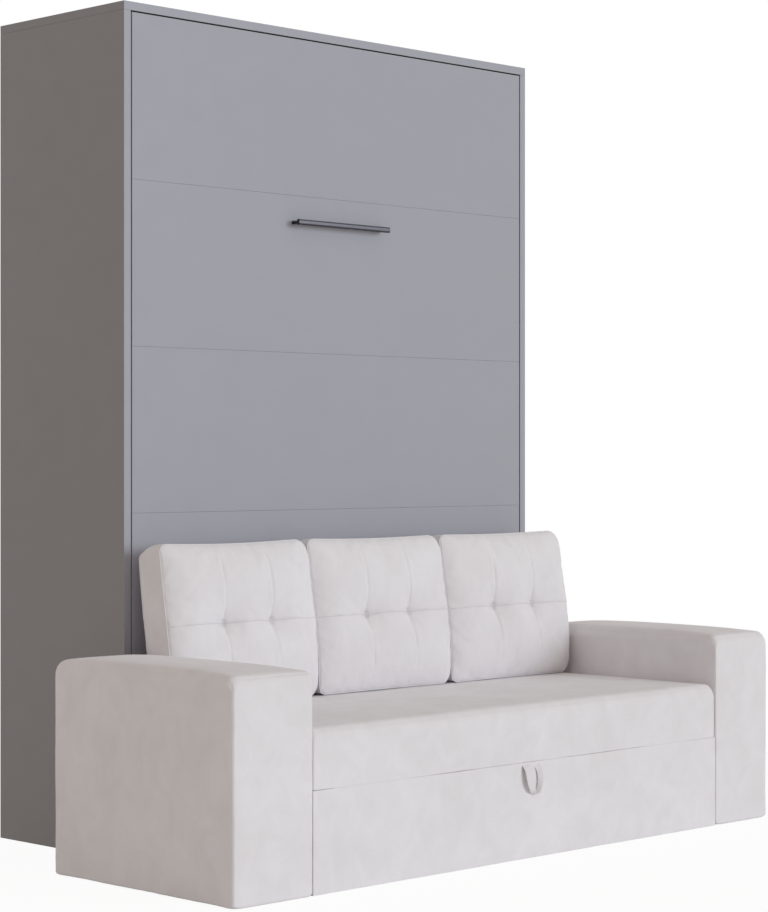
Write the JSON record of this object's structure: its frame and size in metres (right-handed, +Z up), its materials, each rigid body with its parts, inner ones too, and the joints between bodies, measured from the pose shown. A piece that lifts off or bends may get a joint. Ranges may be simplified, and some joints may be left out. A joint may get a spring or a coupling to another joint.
{
  "type": "wall bed with sofa",
  "caption": "Vertical wall bed in a tall cabinet whose front folds down over a sofa with loose tufted back cushions and a drawer under the seat.",
  "frame": {"origin": "on the floor, in the middle of the whole footprint with the bed up and the cushions in place", "axes": "+X along the width to the right as seen from the front, +Y from the sofa to the wall, +Z up"},
  "size_m": [2.0218, 1.2469, 2.18],
  "materials": {
    "door": "matt lacquered grey board",
    "carcass": "matt laminated grey board",
    "inner_board": "white laminated board",
    "handle": "dark satin metal bar",
    "frame_steel": "black powder coat",
    "bright_steel": "zinc-plated steel",
    "beech": "lacquered beech",
    "mattress_cloth": "knitted ticking",
    "webbing": "woven webbing",
    "rubber": "matt rubber",
    "upholstery": "pale short-pile velvet"
  },
  "bodies": {
    "cabinet": {"side_panel_left": "carcass", "side_panel_right": "carcass", "top_panel": "carcass", "bottom_panel": "inner_board", "back_panel": "inner_board", "back_rail": "inner_board", "lower_front_panel": "carcass", "wall_bracket_left": "bright_steel", "wall_bracket_right": "bright_steel", "pivot_plate_left": "bright_steel", "pivot_plate_right": "bright_steel", "spring_bracket_left": "bright_steel", "spring_bracket_right": "bright_steel", "arm_left": "upholstery", "arm_right": "upholstery", "seat_cushion": "upholstery", "seat_platform": "inner_board", "sofa_side_left": "inner_board", "sofa_side_right": "inner_board", "sofa_back_board": "inner_board", "runner_left": "bright_steel", "runner_right": "bright_steel"},
    "bed": {"door_board_1": "door", "door_board_2": "door", "door_board_3": "door", "door_board_4": "door", "handle_bar": "handle", "handle_post_left": "handle", "handle_post_right": "handle", "side_rail_left": "frame_steel", "side_rail_right": "frame_steel", "head_rail": "frame_steel", "foot_rail": "frame_steel", "leg_bolt_left": "bright_steel", "leg_bolt_right": "bright_steel", "spring_stud_left": "bright_steel", "spring_stud_right": "bright_steel", "slatted_base": "beech", "mattress": "mattress_cloth", "mattress_strap_1": "webbing", "mattress_strap_2": "webbing"},
    "leg": {"support_leg": "frame_steel", "leg_glide_left": "rubber", "leg_glide_right": "rubber"},
    "gas_cylinder_left": {"gas_cylinder_left": "frame_steel"},
    "gas_rod_left": {"gas_rod_left": "bright_steel"},
    "gas_cylinder_right": {"gas_cylinder_right": "frame_steel"},
    "gas_rod_right": {"gas_rod_right": "bright_steel"},
    "drawer": {"drawer_front": "upholstery", "drawer_side_left": "inner_board", "drawer_side_right": "inner_board", "drawer_back": "inner_board", "drawer_floor": "inner_board", "slide_left": "bright_steel", "slide_right": "bright_steel", "pull_loop": "upholstery"},
    "back_cushion_left": {"back_cushion_left": "upholstery"},
    "back_cushion_middle": {"back_cushion_middle": "upholstery"},
    "back_cushion_right": {"back_cushion_right": "upholstery"}
  },
  "joints": [
    {"name": "bed_fold", "type": "hinge", "parent": "cabinet", "child": "bed", "pos_m": [0, 0.1665, 0.48], "axis": [1, 0, 0], "range_deg": [0, 90]},
    {"name": "leg_unfold", "type": "hinge", "parent": "bed", "child": "leg", "pos_m": [0, 0.1315, 1.871], "axis": [1, 0, 0], "range_deg": [0, 180]},
    {"name": "gas_spring_swing_left", "type": "hinge", "parent": "cabinet", "child": "gas_cylinder_left", "pos_m": [-0.727, 0.2965, 0.87], "axis": [1, 0, 0], "range_deg": [0, 14.2]},
    {"name": "gas_rod_slide_left", "type": "slide", "parent": "gas_cylinder_left", "child": "gas_rod_left", "axis": [0, -0.1909, -0.9816], "range_m": [-0.185, 0]},
    {"name": "gas_spring_swing_right", "type": "hinge", "parent": "cabinet", "child": "gas_cylinder_right", "pos_m": [0.727, 0.2965, 0.87], "axis": [1, 0, 0], "range_deg": [0, 14.2]},
    {"name": "gas_rod_slide_right", "type": "slide", "parent": "gas_cylinder_right", "child": "gas_rod_right", "axis": [0, -0.1909, -0.9816], "range_m": [-0.185, 0]},
    {"name": "drawer_slide", "type": "slide", "parent": "cabinet", "child": "drawer", "axis": [0, -1, 0], "range_m": [0, 0.45]},
    {"name": "cushion_off_left", "type": "slide", "parent": "cabinet", "child": "back_cushion_left", "axis": [0, -0.9986, 0.0523], "range_m": [0, 2.3]},
    {"name": "cushion_off_middle", "type": "slide", "parent": "cabinet", "child": "back_cushion_middle", "axis": [0, -0.9986, 0.0523], "range_m": [0, 2.3]},
    {"name": "cushion_off_right", "type": "slide", "parent": "cabinet", "child": "back_cushion_right", "axis": [0, -0.9986, 0.0523], "range_m": [0, 2.3]}
  ],
  "couplings": [
    {"joint": "leg_unfold", "follows": "bed_fold", "ratio": 2},
    {"joint": "gas_spring_swing_left", "follows": "bed_fold", "ratio": 0.1571},
    {"joint": "gas_rod_slide_left", "follows": "bed_fold", "m_per_rad": -0.1175},
    {"joint": "gas_spring_swing_right", "follows": "bed_fold", "ratio": 0.1571},
    {"joint": "gas_rod_slide_right", "follows": "bed_fold", "m_per_rad": -0.1175},
    {"joint": "cushion_off_left", "follows": "bed_fold", "m_per_rad": 1.45},
    {"joint": "cushion_off_middle", "follows": "bed_fold", "m_per_rad": 1.45},
    {"joint": "cushion_off_right", "follows": "bed_fold", "m_per_rad": 1.45}
  ]
}
